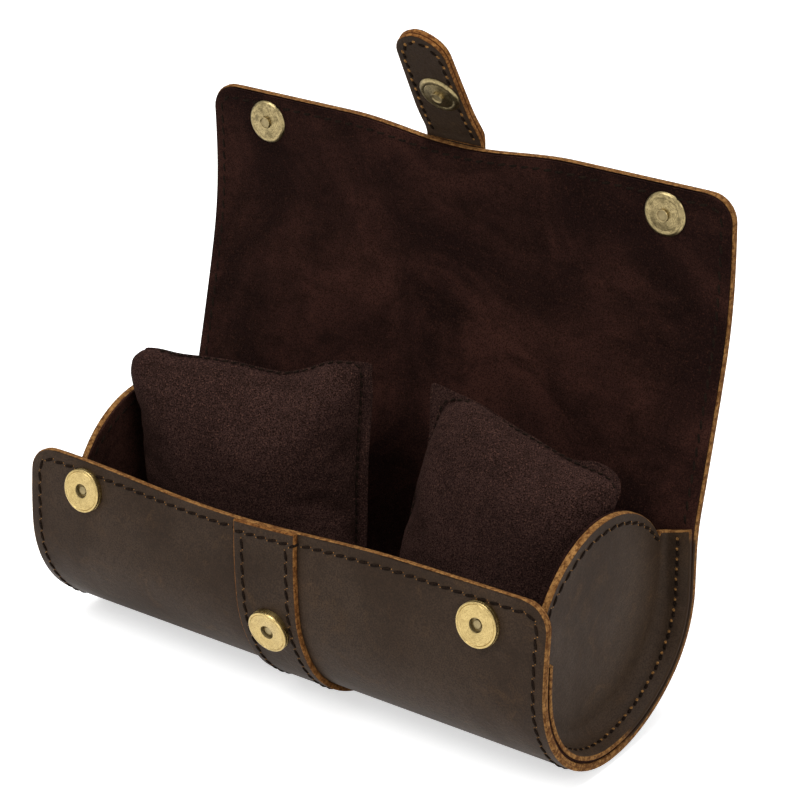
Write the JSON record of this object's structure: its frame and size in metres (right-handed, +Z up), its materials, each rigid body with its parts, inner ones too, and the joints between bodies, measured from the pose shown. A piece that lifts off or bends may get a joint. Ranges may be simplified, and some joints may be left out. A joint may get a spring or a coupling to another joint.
{
  "type": "watch travel case",
  "caption": "Open roll-shaped leather travel case with cup-shaped ends, a flap lid that closes on snaps, a strap with a closing tab, and loose pillows that watches wrap around.",
  "frame": {"origin": "on the ground, at the underside of the strap, below the axis of the round end caps", "axes": "+X to the right along the case, +Y to the back where the lid folds, +Z up"},
  "size_m": [0.21, 0.1127, 0.2153],
  "materials": {
    "leather": "waxed, mottled, with raw orange-tan edges",
    "strap_leather": "waxed, mottled, with raw orange-tan edges",
    "lining": "dark suede",
    "socket_brass": "bright plated",
    "antique_brass": "antique, brushed and worn",
    "steel": "plain",
    "magnet": "plain",
    "microsuede": "dark microsuede with a soft nap",
    "filling": "fibre filling"
  },
  "bodies": {
    "case": {"wrap": "leather", "wrap_lining": "lining", "strap": "strap_leather", "end_cap_left": "leather", "end_cap_right": "leather", "end_lining_left": "lining", "end_lining_right": "lining", "centre_socket": "socket_brass", "centre_socket_magnet": "magnet", "centre_socket_washer": "steel"},
    "front_flap": {"front_flap": "leather", "front_flap_lining": "lining", "front_flap_strap": "strap_leather", "side_sockets": "socket_brass", "side_socket_magnets": "magnet", "side_socket_washers": "steel"},
    "lid_fold": {"lid_fold": "leather", "lid_fold_strap": "strap_leather"},
    "lid_strip_1": {"lid_leather_1": "leather", "lid_lining_1": "lining", "lid_strap_1": "strap_leather"},
    "lid_strip_2": {"lid_leather_2": "leather", "lid_lining_2": "lining", "lid_strap_2": "strap_leather"},
    "lid_strip_3": {"lid_leather_3": "leather", "lid_lining_3": "lining", "lid_strap_3": "strap_leather"},
    "lid_strip_4": {"lid_leather_4": "leather", "lid_lining_4": "lining", "lid_strap_4": "strap_leather"},
    "lid_strip_5": {"lid_leather_5": "leather", "lid_lining_5": "lining", "lid_strap_5": "strap_leather"},
    "lid_strip_6": {"lid_leather_6": "leather", "lid_lining_6": "lining", "lid_strap_6": "strap_leather"},
    "lid_strip_7": {"lid_leather_7": "leather", "lid_lining_7": "lining", "lid_strap_7": "strap_leather", "lid_stud_left": "antique_brass", "lid_stud_right": "antique_brass", "lid_stud_washers": "steel"},
    "tab_base": {"tab_base_outer": "strap_leather", "tab_base_inner": "strap_leather"},
    "tab_tip": {"tab_outer": "strap_leather", "tab_inner": "strap_leather", "tab_stud": "antique_brass", "tab_stud_washer": "steel"},
    "pillow_left": {"pillow_cover_left": "microsuede", "pillow_filling_left": "filling"},
    "pillow_right": {"pillow_cover_right": "microsuede", "pillow_filling_right": "filling"}
  },
  "joints": [
    {"name": "front_flap_flex", "type": "hinge", "parent": "case", "child": "front_flap", "pos_m": [0, -0.04473, 0.0524], "axis": [-1, 0, 0], "range_deg": [0, 16], "stiffness_Nm_per_rad": 0.05},
    {"name": "lid_layback", "type": "hinge", "parent": "case", "child": "lid_fold", "pos_m": [0, 0.0435, 0.0632], "axis": [1, 0, 0], "range_deg": [-105, 0]},
    {"name": "lid_hinge", "type": "hinge", "parent": "lid_fold", "child": "lid_strip_1", "pos_m": [0, 0.038, 0.0632], "axis": [1, 0, 0], "range_deg": [0, 62.53], "deforming": ["pillow_cover_left", "pillow_filling_left", "pillow_cover_right", "pillow_filling_right"]},
    {"name": "lid_curl", "type": "hinge", "parent": "lid_strip_1", "child": "lid_strip_2", "pos_m": [0, 0.04191, 0.0783], "axis": [1, 0, 0], "range_deg": [0, 14.25]},
    {"name": "lid_curl_2", "type": "hinge", "parent": "lid_strip_2", "child": "lid_strip_3", "pos_m": [0, 0.04568, 0.09344], "axis": [1, 0, 0], "range_deg": [0, 12.86]},
    {"name": "lid_curl_3", "type": "hinge", "parent": "lid_strip_3", "child": "lid_strip_4", "pos_m": [0, 0.04932, 0.10861], "axis": [1, 0, 0], "range_deg": [0, 12.51]},
    {"name": "lid_curl_4", "type": "hinge", "parent": "lid_strip_4", "child": "lid_strip_5", "pos_m": [0, 0.05257, 0.12387], "axis": [1, 0, 0], "range_deg": [0, 10.78]},
    {"name": "lid_curl_5", "type": "hinge", "parent": "lid_strip_5", "child": "lid_strip_6", "pos_m": [0, 0.0542, 0.13938], "axis": [1, 0, 0], "range_deg": [0, 15.86]},
    {"name": "lid_curl_6", "type": "hinge", "parent": "lid_strip_6", "child": "lid_strip_7", "pos_m": [0, 0.0542, 0.15498], "axis": [1, 0, 0], "range_deg": [0, 26.27]},
    {"name": "tab_bend", "type": "hinge", "parent": "lid_strip_7", "child": "tab_base", "pos_m": [0, 0.05679, 0.17234], "axis": [-1, 0, 0], "range_deg": [-10, 14.4]},
    {"name": "tab_tip_bend", "type": "hinge", "parent": "tab_base", "child": "tab_tip", "pos_m": [0, 0.04924, 0.18167], "axis": [1, 0, 0], "range_deg": [-12.77, 18.39]},
    {"name": "pillow_left_lift", "type": "slide", "parent": "case", "child": "pillow_left", "axis": [0, 0, -1], "range_m": [-0.11, 0]},
    {"name": "pillow_right_lift", "type": "slide", "parent": "case", "child": "pillow_right", "axis": [0, 0, -1], "range_m": [-0.11, 0]}
  ],
  "couplings": [
    {"joint": "lid_curl_2", "follows": "lid_curl", "ratio": 0.9018},
    {"joint": "lid_curl_3", "follows": "lid_curl", "ratio": 0.8772},
    {"joint": "lid_curl_4", "follows": "lid_curl", "ratio": 0.7558},
    {"joint": "lid_curl_5", "follows": "lid_curl", "ratio": 1.1123},
    {"joint": "lid_curl_6", "follows": "lid_curl", "ratio": 1.8428},
    {"joint": "tab_tip_bend", "follows": "tab_bend", "ratio": 1.2764}
  ]
}
